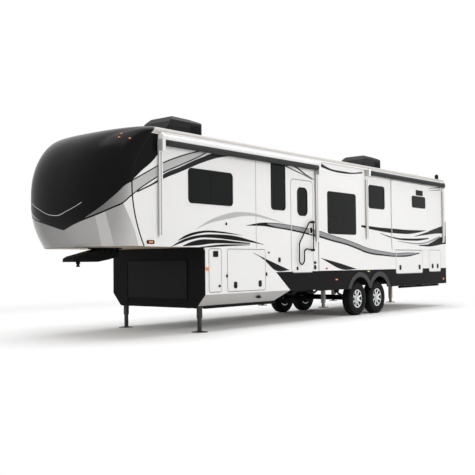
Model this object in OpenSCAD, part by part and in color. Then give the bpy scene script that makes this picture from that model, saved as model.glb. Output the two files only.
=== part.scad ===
// Fifth-wheel travel trailer with slide rooms, drop frame and two axles.
// Sizes are in millimetres. X runs forward, Y to the left, Z up from the ground.
// Stations named *_x are measured forward from the outside of the rear wall.

/* [Body] */
// Outside width over the side walls
body_w = 2440; // [2400:10:2500]
// Thickness of the side, rear and slide walls
wall_t = 45; // [35:1:55]
// Top of the roof over the ground
roof_top = 3570; // [3550:5:3600]
// Underside of the roof
roof_under = 3440; // [3430:5:3450]
// Lower edge of the side walls, along the top of the skirts
skirt_top = 1060; // [1050:1:1070]
// Lower edge of the skirts
skirt_bottom = 630; // [600:5:650]

/* [Front cap] */
// Foremost point of the nose
nose_x = 12430; // [12350:10:12500]
// Height of that point
nose_z = 2250; // [2150:10:2350]
// Foremost point of the seam between cap and side wall
seam_x = 11900; // [11850:5:11950]
// Height of the foremost point of the seam
seam_z = 2550; // [2500:5:2600]
// Thickness of the cap's shell
cap_t = 35; // [28:1:45]
// Squareness of the cap in plan, 2 being an ellipse
cap_square = 2.5; // [2.2:0.1:3]

/* [Floors and belly] */
// Top of the main floor
floor_top = 1030; // [1028:1:1034]
// Underside of the overhang at the front
deck_under = 1535; // [1530:1:1540]
// Front of the drop-frame box, under the overhang
box_front_x = 10178; // [10150:1:10200]
// Lower end of the upright side walls of the drop-frame box
chamfer_z = 680; // [660:5:700]
// Underside of the drop-frame box
belly_z = 470; // [460:5:480]

/* [Running gear] */
// Station of the front axle
axle_front_x = 4750; // [4740:1:4760]
// Distance between the axles
axle_gap = 925; // [915:5:935]
// Tyre radius
tyre_r = 388; // [380:1:395]
// Tyre width
tyre_w = 225; // [215:1:235]
// Distance of a tyre's middle from the centre line
track_half = 1052; // [1045:1:1056]
// Radius of the wheel's rim
rim_r = 210; // [205:1:215]

/* [Coupling and legs] */
// Station of the kingpin
pin_x = 12018; // [11980:1:12040]
// Neck radius of the kingpin
pin_r = 25.4; // [25.4:0.1:25.4]
// Underside of the pin box plate
pin_plate_z = 1290; // [1280:1:1300]
// Station of the front legs
leg_x = 10050; // [10030:1:10070]
// Distance of the legs from the centre line
leg_y = 985; // [960:1:1000]

/* [Slide rooms] */
// How deep the rooms reach into the body
room_depth = 850; // [820:5:860]
// Clearance between a room and its opening
room_gap = 8; // [6:1:10]
// Width of the flange round a room's outside wall
flange_w = 25; // [22:1:30]

/* [Hidden] */
$fn = 48;

half_w = body_w / 2;
inner_w = half_w - wall_t;
bumper_out = 90;
mid_x = (nose_x - bumper_out) / 2;
axle_rear_x = axle_front_x - axle_gap;
white = "#e9eae9";
black = "#1a1a1a";
steel = "#2a2a2a";

// Outlines of the entry door, the baggage doors and the windows: x0, x1, z0, z1, corner radius
door_box = [6690, 7490, 1042, 2980, 90];
door_window_box = [6914, 7244, 2250, 2810, 150];
bag_narrow_box = [9704, 10037, 728, 1504, 45];
bag_pass_box = [8382, 9523, 721, 1503, 45];
bag_rear_box = [1488, 2957, 950, 1535, 45];
bag_utility_box = [368, 1069, 975, 1550, 45];
left_windows = [[9380, 10550, 2330, 2910, 60], [7705, 8150, 2330, 3280, 60], [3540, 4280, 2556, 3080, 60]];
right_windows = [[9380, 10550, 2330, 2910, 60], [6760, 7560, 2130, 2910, 60]];
rear_window = [-560, 560, 1980, 2760, 60];
bag_t = wall_t - 7;
panel_gap = 6;

// Slide rooms, by the outline of their flanges: x0, x1, z0, z1, corner radius
main_box = [4700, 6490, 1064, 3200, 25];
kitchen_box = [1130, 3185, 1562, 3300, 25];
living_box = [1900, 5700, 1064, 3200, 25];
main_window_box = [4945, 6140, 1885, 2810, 60];
kitchen_window_box = [1310, 2080, 2676, 2967, 50];
living_window_box = [3000, 4600, 1885, 2810, 60];
flange_t = 18;
flange_lift = 6;

// Side view of the seam: it bows forward, gently below its foremost point and faster above
seam_low = 255;
seam_high = 580;
function seam(z) = seam_x - (z < seam_z ? seam_low : seam_high) * pow((z - seam_z) / 1000, 2);

// Side view of the nose on the centre line: a parabola below nose_z and a superellipse above
nose_tuck = 310;
nose_crown_x = 11380;
nose_power = 2.5;
function nose(z) = z < nose_z
    ? nose_x - nose_tuck * pow((nose_z - z) / (nose_z - deck_under), 2)
    : nose_crown_x + (nose_x - nose_crown_x)
        * pow(max(0, 1 - pow((z - nose_z) / (roof_top + 4 - nose_z), nose_power)), 1 / nose_power);

// Half width of the body at a height, with the roof's edge rounded
roof_edge_r = 120;
function body_half(z) = z < roof_top - roof_edge_r ? half_w
    : half_w - roof_edge_r + sqrt(max(0, pow(roof_edge_r, 2) - pow(z - roof_top + roof_edge_r, 2)));

// Heights of the cap's sections, which the wall's and the roof's front edges share
cap_levels = [deck_under, 1700, 1900, 2100, 2300, 2550, 2800, 3000, 3150, 3280, 3370, roof_under,
    3490, 3530, 3555, roof_top];
cap_steps = 28;

// One section of the cap: from the seam's left end round the nose to its right end
function cap_ring(x0, x1, w, z) = [for (i = [0 : cap_steps]) let (a = 180 * i / cap_steps)
    [x0 + (x1 - x0) * pow(sin(a), 2 / cap_square),
     w * (cos(a) < 0 ? -1 : 1) * pow(abs(cos(a)), 2 / cap_square), z]];

// Closed loft through rings of equal length
module loft(rings) {
    n = len(rings[0]);
    m = len(rings);
    polyhedron(
        points = [for (r = rings) for (p = r) p],
        faces = concat(
            [[for (i = [n - 1 : -1 : 0]) i]],
            [[for (i = [0 : n - 1]) (m - 1) * n + i]],
            [for (j = [0 : m - 2]) for (i = [0 : n - 1]) let (k = (i + 1) % n)
                [j * n + i, (j + 1) * n + k, (j + 1) * n + i]],
            [for (j = [0 : m - 2]) for (i = [0 : n - 1]) let (k = (i + 1) % n)
                [j * n + i, j * n + k, (j + 1) * n + k]]));
}

// Everything is drawn by stations, then shifted so that the origin is under the middle
module placed(c) color(c) translate([-mid_x, 0, 0]) children();

// Extrudes an outline of the side view from y0 to y0 + t
module side_slab(y0, t) translate([0, y0 + t, 0]) rotate([90, 0, 0]) linear_extrude(t) children();

// Extrudes an outline of the end view forward from x0
module along_x(x0, l) translate([x0, 0, 0]) rotate([90, 0, 90]) linear_extrude(l) children();

module both_sides() {
    children();
    mirror([0, 1, 0]) children();
}

module block(x0, x1, y0, y1, z0, z1) translate([x0, y0, z0]) cube([x1 - x0, y1 - y0, z1 - z0]);

// A rectangle with round corners, from a box [x0, x1, z0, z1, r], grown by g on every side
module panel(b, g = 0) {
    r = b[4] + g;
    translate([b[0] - g, b[2] - g + r]) square([b[1] - b[0] + 2 * g, b[3] - b[2] + 2 * g - 2 * r]);
    translate([b[0] - g + r, b[2] - g]) square([b[1] - b[0] + 2 * g - 2 * r, b[3] - b[2] + 2 * g]);
    for (x = [b[0] - g + r, b[1] + g - r]) for (z = [b[2] - g + r, b[3] + g - r])
        translate([x, z]) circle(r);
}

// Side wall outline: the seam in front, the drop-frame box below, the skirt's line behind
wall_front = [for (z = cap_levels) if (z <= roof_under) [seam(z), z]];
bulkhead_t = 38;
box_x = box_front_x - bulkhead_t;
module wall_outline() polygon(concat(wall_front,
    [[0, roof_under], [0, skirt_top], [8030, skirt_top], [7550, chamfer_z], [box_x, chamfer_z],
     [box_x, deck_under]]));

module window_holes(list) for (b = list) panel(b);

module side_wall_left() placed(white) side_slab(inner_w, wall_t) difference() {
    wall_outline();
    window_holes(left_windows);
    panel(door_box, panel_gap);
    for (b = [bag_narrow_box, bag_pass_box, bag_rear_box, bag_utility_box]) panel(b, panel_gap);
    for (b = [main_box, kitchen_box]) panel(b, -flange_w + 1);
}

module side_wall_right() placed(white) side_slab(-half_w, wall_t) difference() {
    wall_outline();
    window_holes(right_windows);
    panel(bag_pass_box, panel_gap);
    panel(living_box, -flange_w + 1);
}

module rear_wall() placed(white) along_x(0, wall_t) difference() {
    translate([-inner_w, floor_top - 55]) square([2 * inner_w, roof_under - floor_top + 55]);
    panel(rear_window);
}

// Roof: a slab whose long edges are round, with the gutter rails along them
module roof_section() {
    r = roof_edge_r;
    translate([-half_w, roof_under]) square([body_w, roof_top - r - roof_under]);
    translate([-half_w + r, roof_under]) square([body_w - 2 * r, roof_top - roof_under]);
    intersection() {
        for (s = [-1, 1]) translate([s * (half_w - r), roof_top - r]) circle(r);
        translate([-half_w, roof_under]) square([body_w, roof_top - roof_under]);
    }
}

module roof() placed(white) {
    intersection() {
        along_x(0, nose_x) roof_section();
        side_slab(-half_w, body_w) polygon(concat(
            [for (z = cap_levels) if (z >= roof_under) [seam(z), z]], [[0, roof_top], [0, roof_under]]));
    }
    both_sides() block(150, 11250, half_w - 30, half_w + 22, roof_under, roof_under + 38);
}

// Moulded cap: an outer loft less an inner one that is open to the body behind and the deck below
module front_cap() placed("#202224") difference() {
    loft([for (z = cap_levels) cap_ring(seam(z), nose(z), body_half(z), z)]);
    loft([for (z = concat([deck_under - 40], cap_levels)) if (z <= roof_top - cap_t - 30)
        let (x0 = seam(z + cap_t) - 10, x1 = min(nose(z), nose(z + cap_t)) - cap_t, w = body_half(z + cap_t) - cap_t)
        concat([[seam(z) - 90, w, z]], cap_ring(x0, x1, w, z), [[seam(z) - 90, -w, z]])]);
}

// Floors: main floor, riser at the bedroom step, and the raised deck reaching into the cap
deck_t = 60;
riser_x = 7560;
board_gap = 1;
module floor_deck() placed("#6d6250") {
    block(wall_t, riser_x - board_gap, -inner_w, inner_w, floor_top - 55, floor_top);
    block(riser_x, riser_x + 40, -inner_w, inner_w, chamfer_z, deck_under - board_gap);
    front = seam(deck_under + deck_t);
    translate([0, 0, deck_under]) linear_extrude(deck_t) polygon(concat(
        [[riser_x, inner_w], [front, inner_w]],
        [for (p = cap_ring(front, nose(deck_under) - cap_t - 6, half_w - cap_t - 16, 0)) [p[0], p[1]]],
        [[front, -inner_w], [riser_x, -inner_w]]));
}

// Belly of the drop-frame box: chamfered tray with a raked tail
belly_half = 1000;
belly_t = 30;
tail_x = 7550;
tail_low_x = 7840;
module belly_pan() placed("#bdb9b2") difference() {
    intersection() {
        along_x(tail_x, box_x - tail_x) polygon([[-half_w, chamfer_z], [-belly_half, belly_z],
            [belly_half, belly_z], [half_w, chamfer_z]]);
        side_slab(-half_w, body_w) polygon([[tail_x, chamfer_z], [tail_low_x, belly_z],
            [box_x, belly_z], [box_x, chamfer_z]]);
    }
    intersection() {
        along_x(tail_x, box_x - tail_x + 10) polygon([[-inner_w, chamfer_z + 10], [-inner_w, chamfer_z - 5],
            [-belly_half + 12, belly_z + belly_t], [belly_half - 12, belly_z + belly_t],
            [inner_w, chamfer_z - 5], [inner_w, chamfer_z + 10]]);
        side_slab(-half_w, body_w) polygon([[riser_x + 50, chamfer_z + 10], [riser_x + 50, chamfer_z - 5],
            [tail_low_x + 16, belly_z + belly_t], [box_x + 10, belly_z + belly_t], [box_x + 10, chamfer_z + 10]]);
    }
}

// Front of the box: a chamfered panel with a shallow recess
recess = [-800, 800, belly_z + 30, 1300, 40];
module front_bulkhead() placed(black) difference() {
    along_x(box_x, bulkhead_t) difference() {
        polygon([[-half_w, chamfer_z], [-belly_half, 438], [belly_half, 438], [half_w, chamfer_z],
            [half_w, 1470], [half_w - 70, deck_under], [-half_w + 70, deck_under], [-half_w, 1470]]);
    }
    along_x(box_front_x - 12, 20) panel(recess);
}

// Skirts with two wheel arches each
arch_r = 458;
arch_z = 440;
trim_w = 112;
skirt_t = 25;
module arches(r) for (x = [axle_front_x, axle_rear_x]) translate([x, arch_z]) circle(r, $fn = 96);
module skirt_outline() polygon([[0, skirt_bottom], [6490, skirt_bottom], [6490, skirt_bottom + 25],
    [7530, skirt_bottom + 25], [7550, chamfer_z], [8030, skirt_top], [0, skirt_top]]);

module skirts() placed(black) {
    side_slab(half_w - skirt_t, skirt_t) difference() {
        skirt_outline();
        arches(arch_r);
        for (b = [door_box, bag_rear_box, bag_utility_box]) panel(b, panel_gap);
    }
    side_slab(-half_w, skirt_t) difference() {
        skirt_outline();
        arches(arch_r);
    }
}

module arch_trims() placed("#3a3a3a") both_sides() side_slab(half_w, 12) difference() {
    intersection() {
        arches(arch_r + trim_w);
        translate([0, skirt_bottom]) square([8000, skirt_top - skirt_bottom]);
    }
    arches(arch_r);
}

// Chassis: two I-beams, cross members, outriggers, bumper and the drop rails under the box
rail_y = 780;
rail_h = 300;
rail_top = floor_top - 55;
rail_low = rail_top - rail_h;
module i_section() {
    for (z = [0, rail_h - 12]) translate([-45, z]) square([90, 12]);
    translate([-5, 0]) square([10, rail_h]);
}

rail_end_x = tail_x - 3;
module chassis_frame() placed(steel) both_sides() {
    along_x(-20, rail_end_x + 20) translate([rail_y, rail_low]) i_section();
    block(7860, box_x, rail_y - 40, rail_y + 40, belly_z - 40, belly_z);
    side_slab(rail_y - 10, 20) polygon([[7200, rail_low + 8], [7520, rail_low + 8], [7545, 670],
        [7835, belly_z - 2], [7880, belly_z - 2], [7880, belly_z - 40], [7780, belly_z - 40],
        [7420, rail_low - 60], [7200, rail_low]]);
}

// Cross members between the rails, outriggers under the floor's edges, and the box bumper
cross_stations = [500, 1500, 2450, 3400, 4290, 5300, 6300, 7300];
low_cross_stations = [8000, 9000, 10080];
outrigger_stations = [200, 1250, 3150, 5650, 6650, 7350];
module cross_members() placed(steel) {
    for (x = cross_stations) along_x(x - 25, 50) difference() {
        square_between(rail_y - 5, rail_top - 140, rail_top - 40);
        for (s = [-1, 1]) translate([s * 390, rail_top - 90]) circle(24);
    }
    for (x = low_cross_stations)
        block(x - 30, x + 30, -rail_y + 40, rail_y - 40, belly_z - 40, belly_z);
    both_sides() for (x = outrigger_stations) along_x(x, 8) difference() {
        polygon([[rail_y + 5, rail_top - 12], [rail_y + 45, rail_top - 12], [rail_y + 46, rail_top],
            [half_w - skirt_t, rail_top], [half_w - skirt_t, rail_top - 60], [rail_y + 5, rail_low + 40]]);
        translate([rail_y + 120, rail_top - 100]) circle(32);
    }
    along_x(-bumper_out, 70) square_between(1150, rail_low + 20, rail_low + 120);
}
module square_between(w, z0, z1) translate([-w, z0]) square([2 * w, z1 - z0]);

// Axle tubes with spindles and brake backing plates
axle_r = 38;
spindle_r = 28;
module axles() placed(steel) for (x = [axle_front_x, axle_rear_x]) translate([x, 0, tyre_r]) {
    rotate([-90, 0, 0]) translate([0, 0, -900]) cylinder(r = axle_r, h = 1800);
    rotate([-90, 0, 0]) translate([0, 0, -1098]) cylinder(r = spindle_r, h = 2196);
    for (s = [-1, 1]) translate([0, s * 880, 0]) rotate([90, 0, 0]) cylinder(r = 165, h = 8, center = true);
}

// Leaf packs over the axles, on hangers, with the equalisers between them
spring_w = 60;
spring_half = 330;
spring_bow_r = 650;
leaf_t = 10;
leaf_count = 5;
module leaf_pack() for (k = [0 : leaf_count - 1]) translate([0, spring_bow_r + (k + 1) * leaf_t]) intersection() {
    difference() {
        circle(spring_bow_r + leaf_t, $fn = 128);
        circle(spring_bow_r, $fn = 128);
    }
    translate([-spring_half + (leaf_count - 1 - k) * 55, -spring_bow_r - 20])
        square([2 * (spring_half - (leaf_count - 1 - k) * 55), 200]);
}

hanger_mid_x = axle_rear_x + axle_gap / 2;
axle_top = tyre_r + axle_r;
eye_r = 20;
eye_z = spring_bow_r + leaf_count * leaf_t - sqrt(pow(spring_bow_r, 2) - pow(spring_half, 2));
equaliser_z = rail_low - 145;
// Shackles, each from a leaf's eye to an end of the equaliser: the two stations
shackles = [[axle_rear_x + spring_half, hanger_mid_x - 145], [axle_front_x - spring_half, hanger_mid_x + 145]];
spring_bolts = [[axle_rear_x - spring_half, axle_top + eye_z], [axle_front_x + spring_half, axle_top + eye_z],
    [hanger_mid_x, equaliser_z], [shackles[0][0], axle_top + eye_z], [shackles[1][0], axle_top + eye_z]];
module leaf_springs() placed("#343434") both_sides() {
    for (x = [axle_front_x, axle_rear_x]) side_slab(rail_y - spring_w / 2, spring_w)
        translate([x, tyre_r + axle_r]) {
            leaf_pack();
            for (s = [-1, 1]) translate([s * spring_half, eye_z + 2]) circle(eye_r);
        }
    side_slab(rail_y - spring_w / 2, spring_w) translate([hanger_mid_x, equaliser_z])
        polygon([[-160, 12], [0, 38], [160, 12], [160, -16], [0, -35], [-160, -16]]);
    for (s = [-1, 1]) side_slab(rail_y + s * (spring_w / 2 + 3) - 4, 8) {
        for (x = [axle_rear_x - spring_half, hanger_mid_x, axle_front_x + spring_half]) translate([x, 0])
            polygon([[-70, rail_low], [70, rail_low], [24, equaliser_z - 24], [-24, equaliser_z - 24]]);
        for (p = shackles) polygon([[p[0] - 18, axle_top + eye_z + 22], [p[0] + 18, axle_top + eye_z + 22],
            [p[1] + 18, equaliser_z - 20], [p[1] - 18, equaliser_z - 20]]);
    }
    for (p = spring_bolts) side_slab(rail_y - spring_w / 2 - 16, spring_w + 32) translate(p) circle(11, $fn = 12);
}

// Wheels, drawn with the outside face up, then turned onto their axle
module on_axle(x, side) translate([x, side * track_half, tyre_r]) rotate([side > 0 ? -90 : 90, 0, 0]) children();

module tyre() rotate_extrude($fn = 72) polygon([[rim_r, -tyre_w / 2 + 20], [rim_r + 12, -tyre_w / 2 + 6],
    [rim_r + 70, -tyre_w / 2], [tyre_r - 30, -tyre_w / 2 + 8], [tyre_r - 8, -tyre_w / 2 + 22],
    [tyre_r, -tyre_w / 2 + 45], [tyre_r, tyre_w / 2 - 45], [tyre_r - 8, tyre_w / 2 - 22],
    [tyre_r - 30, tyre_w / 2 - 8], [rim_r + 70, tyre_w / 2], [rim_r + 12, tyre_w / 2 - 6],
    [rim_r, tyre_w / 2 - 20]]);

spoke_count = 8;
nut_ring_r = 76;
module rim() {
    for (i = [0 : spoke_count - 1]) rotate([0, 0, (i + 0.5) * 360 / spoke_count])
        translate([nut_ring_r, 0, 62]) cylinder(r = 10, h = 34, $fn = 6);
    rotate_extrude() polygon([[rim_r - 14, -tyre_w / 2 + 20], [rim_r, -tyre_w / 2 + 20], [rim_r, tyre_w / 2 - 20],
        [rim_r - 14, tyre_w / 2 - 20]]);
    difference() {
        rotate_extrude() polygon([[spindle_r + 0.05, 30], [rim_r - 10, 62], [rim_r - 10, 90], [95, 72],
            [60, 78], [60, 104], [52, 110], [0, 110], [0, 52], [spindle_r + 0.05, 52]]);
        for (i = [0 : spoke_count - 1]) rotate([0, 0, i * 360 / spoke_count]) translate([0, 0, -10])
            linear_extrude(120) polygon([[100, -14], [112, -20], [rim_r - 32, -52], [rim_r - 24, -40],
                [rim_r - 24, 40], [rim_r - 32, 52], [112, 20], [100, 14]]);
    }
    rotate_extrude() polygon([[spindle_r + 0.05, -150], [60, -150], [150, -150], [150, -90], [60, -80], [60, 45],
        [spindle_r + 0.05, 45]]);
}

module tyre_front_left() placed("#161616") on_axle(axle_front_x, 1) tyre();
module tyre_rear_left() placed("#161616") on_axle(axle_rear_x, 1) tyre();
module tyre_front_right() placed("#161616") on_axle(axle_front_x, -1) tyre();
module tyre_rear_right() placed("#161616") on_axle(axle_rear_x, -1) tyre();
module rim_front_left() placed("#b9bcbe") on_axle(axle_front_x, 1) rim();
module rim_rear_left() placed("#b9bcbe") on_axle(axle_rear_x, 1) rim();
module rim_front_right() placed("#b9bcbe") on_axle(axle_front_x, -1) rim();
module rim_rear_right() placed("#b9bcbe") on_axle(axle_rear_x, -1) rim();

// Pin box: two side plates, their covers, the flange under the overhang and the kingpin
pin_box_half = 150;
plate_t = 12;
gusset_stations = [11260, 11400, 11540];
pin_profile = [[11230, deck_under - 20], [11600, deck_under - 20], [12150, 1385], [12225, 1345],
    [12225, pin_plate_z], [11700, pin_plate_z], [11450, 1332], [11230, 1389]];
module pin_box() placed(black) {
    difference() {
        side_slab(-pin_box_half, 2 * pin_box_half) polygon(pin_profile);
        side_slab(-pin_box_half + plate_t, 2 * (pin_box_half - plate_t)) polygon([[11200, deck_under - 40],
            [11590, deck_under - 40], [12138, 1370], [12200, 1336], [12200, pin_plate_z + 20],
            [11710, pin_plate_z + 20], [11456, 1350], [11200, 1412]]);
    }
    block(11200, 11640, -200, 200, deck_under - 20, deck_under);
    both_sides() for (x = gusset_stations) along_x(x, 10) polygon([[pin_box_half - 2, deck_under - 19],
        [190, deck_under - 19], [pin_box_half - 2, 1410]]);
    translate([pin_x, 0, pin_plate_z - 84]) rotate_extrude() polygon([[0, 0], [30, 0], [35.7, 5], [35.7, 17],
        [pin_r, 17], [pin_r, 50], [36.5, 50], [36.5, 84], [60, 84], [60, 90], [0, 90]]);
}

// Legs at the front, let down to the ground
module leg(y) translate([leg_x, y, 0]) {
    cylinder(r = 150, h = 8);
    cylinder(r1 = 150, r2 = 60, h = 22);
    translate([-28, -28, 10]) cube([56, 56, 300]);
    translate([-37, -37, 250]) cube([74, 74, belly_z - 250 - 40]);
    translate([-60, -70, belly_z - 40]) cube([140, 100, 40]);
}

module front_legs() placed("#4a443c") both_sides() leg(leg_y);

// Levelling jacks on the rails, drawn up, clear of the ground: station, height of the foot
jacks = [[5790, 225], [2640, 200]];
module levelling_jacks() placed("#8b7358") both_sides() for (j = jacks)
    translate([j[0], rail_y + 45 + 45, 0]) {
        translate([0, 0, j[1]]) cylinder(r = 115, h = 14);
        translate([-28, -28, j[1]]) cube([56, 56, 300]);
        translate([-38, -38, j[1] + 110]) cube([76, 76, rail_top - 60 - j[1] - 110]);
        translate([-60, -80, rail_low + 60]) cube([120, 50, 120]);
    }

// Fixed windows: a pane that fills its hole, with a thin flange over the wall
module side_window(b) {
    side_slab(half_w - 15, 15) panel(b);
    side_slab(half_w, 7) panel(b, 16);
}

module windows() placed("#0e0f11") {
    for (b = left_windows) side_window(b);
    mirror([0, 1, 0]) for (b = right_windows) side_window(b);
    along_x(0, 15) panel(rear_window);
    along_x(-7, 7) panel(rear_window, 16);
}

// Air conditioners: station of the middle; they sit on the roof's centre line
air_units = [9730, 2580];
module shell_plate(l, w, r, z) translate([-l / 2 + r, -w / 2 + r, z]) linear_extrude(1)
    for (x = [0, l - 2 * r]) for (y = [0, w - 2 * r]) translate([x, y]) circle(r, $fn = 24);

// The shroud is where its side view, its end view and its plan meet, with louvres cut behind
shroud_side = [[-530, 50], [-530, 360], [-515, 410], [-470, 442], [100, 492], [200, 495], [280, 478], [400, 370],
    [485, 230], [525, 120], [530, 50]];
shroud_end = [[-360, 50], [-360, 280], [-340, 405], [-290, 470], [-220, 495], [220, 495], [290, 470], [340, 405],
    [360, 280], [360, 50]];
louvre_slots = 7;
module roof_air_units() placed(black) for (x = air_units) translate([x, 0, roof_top]) {
    translate([-420, -320, 0]) cube([840, 640, 60]);
    difference() {
        intersection() {
            side_slab(-370, 740) polygon(shroud_side);
            along_x(-540, 1080) polygon(shroud_end);
            linear_extrude(500) hull() for (u = [-420, 420]) for (v = [-250, 250]) translate([u, v]) circle(112);
        }
        for (s = [-1, 1]) for (i = [0 : louvre_slots - 1])
            translate([-420 + i * 42, s * 358 - 15, 90]) cube([22, 30, 260]);
        for (i = [0 : 5]) translate([-545, -230, 100 + i * 40]) cube([30, 460, 20]);
    }
}

// Roof vents with domed lids, and the aerial's cap: station, side, size, height
vents = [[4550, 300, 460, 150], [7200, -300, 460, 150], [8300, 350, 400, 120]];
module roof_vents() placed("#dcdcdc") {
    for (v = vents) translate([v[0], v[1], roof_top]) {
        translate([-v[2] / 2 + 20, -v[2] / 2 + 20, 0]) cube([v[2] - 40, v[2] - 40, 50]);
        hull() {
            shell_plate(v[2], v[2], 60, 50);
            shell_plate(v[2] - 120, v[2] - 120, 60, v[3]);
        }
    }
    translate([600, 500, roof_top]) {
        cylinder(r = 90, h = 40);
        cylinder(r = 30, h = 120);
        translate([0, 0, 100]) cylinder(r1 = 190, r2 = 150, h = 60);
    }
}

// Awnings: a roller under the gutter between two arms that fold flat on the wall
awning_z = roof_under - 66;
awning_y = half_w + 68;
roller_r = 54;
// Station of the rear arm, station of the front arm, foot of the arms
awning_table = [[6560, 11270, 1690], [190, 4420, 1780]];
module awnings() placed(white) for (a = awning_table) {
    translate([a[0], awning_y, awning_z]) rotate([0, 90, 0]) cylinder(r = roller_r, h = a[1] - a[0]);
    for (x = [a[0], a[1]]) {
        difference() {
            block(x - 30, x + 30, half_w, half_w + 42, a[2], awning_z);
            block(x - 12, x + 12, half_w + 30, half_w + 50, a[2] + 70, awning_z - 90);
        }
        block(x - 44, x + 44, half_w, half_w + 12, a[2] - 10, a[2] + 50);
        translate([x - 32, awning_y, awning_z]) rotate([0, 90, 0]) cylinder(r = roller_r + 10, h = 64);
    }
}

module tail_lamps() placed("#a01814") both_sides()
    along_x(-24, 24) panel([930, 1050, 1180, 1560, 58]);

// Ladder on the rear wall, hooked over the roof
ladder_y = [-980, -640];
module rear_ladder() placed("#c9cbcc") {
    for (y = ladder_y) {
        translate([-80, y, 1450]) cylinder(r = 13, h = roof_top + 70 - 1450);
        translate([-80, y, roof_top + 70]) rotate([0, 90, 0]) cylinder(r = 13, h = 430);
        translate([-80, y, roof_top + 70]) sphere(14);
        translate([350, y, roof_top]) cylinder(r = 13, h = 83);
        for (z = [1625, 2505, 3375]) translate([-80, y, z]) rotate([0, 90, 0]) cylinder(r = 9, h = 80);
    }
    for (z = [1480 : 290 : 3300]) translate([-80, ladder_y[0], z]) rotate([-90, 0, 0])
        cylinder(r = 13, h = ladder_y[1] - ladder_y[0]);
}

// Entry door with its window hole, its sill strip and its latch
module entry_door() placed(white) {
    side_slab(inner_w, wall_t) difference() {
        panel(door_box);
        panel(door_window_box);
    }
    side_slab(half_w, 14) panel([6735, 6835, 1850, 2010, 20]);
}

module entry_door_window() placed("#0e0f11") {
    side_slab(half_w - 15, 15) panel(door_window_box);
    side_slab(half_w, 6) panel(door_window_box, 14);
}

// Folded grab rail: its corners in the side view, each rounded by a bend, and a tube swept along them
rail_corners = [[6745, 2110], [6890, 2105], [7270, 1650], [7280, 1257], [7188, 1195], [7095, 1257], [7090, 1490],
    [7015, 1535], [6745, 1511]];
rail_r = 14;
rail_off = 50;
rail_bend = 40;
rail_sides = 10;
function towards(a, b, d) = a + (b - a) * d / norm(b - a);
function bend_points(a, c, b) = let (p = towards(c, a, rail_bend), q = towards(c, b, rail_bend))
    [for (t = [0 : 0.25 : 1]) (1 - t) * (1 - t) * p + 2 * t * (1 - t) * c + t * t * q];
rail_path = concat([rail_corners[0]],
    [for (i = [1 : len(rail_corners) - 2]) for (p = bend_points(rail_corners[i - 1], rail_corners[i],
        rail_corners[i + 1])) p],
    [rail_corners[len(rail_corners) - 1]]);
function rail_ring(i) = let (a = rail_path[max(i - 1, 0)], b = rail_path[min(i + 1, len(rail_path) - 1)],
    d = (b - a) / norm(b - a), c = rail_path[i])
    [for (k = [0 : rail_sides - 1]) let (u = rail_r * cos(360 * k / rail_sides), v = rail_r * sin(360 * k / rail_sides))
        [c[0] - u * d[1], half_w + rail_off + v, c[1] + u * d[0]]];
module grab_rail() placed(black) {
    loft([for (i = [0 : len(rail_path) - 1]) rail_ring(i)]);
    translate([6745, half_w + rail_off, 1511]) cylinder(r = rail_r - 2, h = 600);
    for (z = [1511, 2110]) block(6718, 6774, half_w, half_w + rail_off + rail_r + 4, z - 24, z + 24);
}

// Baggage doors
module bag_door(b) side_slab(half_w - bag_t, bag_t) panel(b);
module bag_door_narrow() placed(white) bag_door(bag_narrow_box);
module bag_door_pass_left() placed(white) bag_door(bag_pass_box);
module bag_door_rear() placed(white) bag_door(bag_rear_box);
module bag_door_utility() placed(white) bag_door(bag_utility_box);
module bag_door_pass_right() placed(white) mirror([0, 1, 0]) bag_door(bag_pass_box);

// Slide room: outside wall with its flange, floor, roof and side walls, open towards the cabin
module slide_room(b, w) {
    g = flange_w + room_gap;
    y1 = half_w + flange_lift;
    difference() {
        union() {
            side_slab(y1 - room_depth, room_depth) panel([b[0] + g, b[1] - g, b[2] + g, b[3] - g, 20]);
            side_slab(y1, flange_t) panel(b);
        }
        block(b[0] + g + wall_t, b[1] - g - wall_t, 0, y1 + flange_t - wall_t - 10,
            b[2] + g + wall_t, b[3] - g - wall_t);
        side_slab(y1 - 200, 300) panel(w);
    }
}

module slide_window(w) side_slab(half_w + flange_lift + flange_t - 20, 26) panel(w);

module slide_main() placed(white) slide_room(main_box, main_window_box);
module slide_main_window() placed("#0e0f11") slide_window(main_window_box);
// The kitchen room carries a cooker hood's outlet above its window: a low cowl with slots
hood_box = [1463, 1841, 3006, 3133, 18];
module slide_kitchen() placed(white) {
    slide_room(kitchen_box, kitchen_window_box);
    side_slab(half_w + flange_lift + flange_t - 2, 9) difference() {
        panel(hood_box);
        for (i = [0 : 3]) translate([hood_box[0] + 24, hood_box[2] + 20 + i * 26])
            square([hood_box[1] - hood_box[0] - 48, 10]);
    }
}
module slide_kitchen_window() placed("#0e0f11") slide_window(kitchen_window_box);
module slide_living() placed(white) mirror([0, 1, 0]) slide_room(living_box, living_window_box);
module slide_living_window() placed("#0e0f11") mirror([0, 1, 0]) slide_window(living_window_box);

chassis_frame();
cross_members();
axles();
leaf_springs();
floor_deck();
belly_pan();
front_bulkhead();
side_wall_left();
side_wall_right();
rear_wall();
roof();
front_cap();
skirts();
arch_trims();
pin_box();
front_legs();
levelling_jacks();
windows();
roof_air_units();
roof_vents();
awnings();
tail_lamps();
rear_ladder();
tyre_front_left();
tyre_rear_left();
tyre_front_right();
tyre_rear_right();
rim_front_left();
rim_rear_left();
rim_front_right();
rim_rear_right();
entry_door();
entry_door_window();
grab_rail();
bag_door_narrow();
bag_door_pass_left();
bag_door_rear();
bag_door_utility();
bag_door_pass_right();
slide_main();
slide_main_window();
slide_kitchen();
slide_kitchen_window();
slide_living();
slide_living_window();
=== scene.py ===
import math

import bpy
import numpy as np
from mathutils import Matrix, Vector


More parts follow.
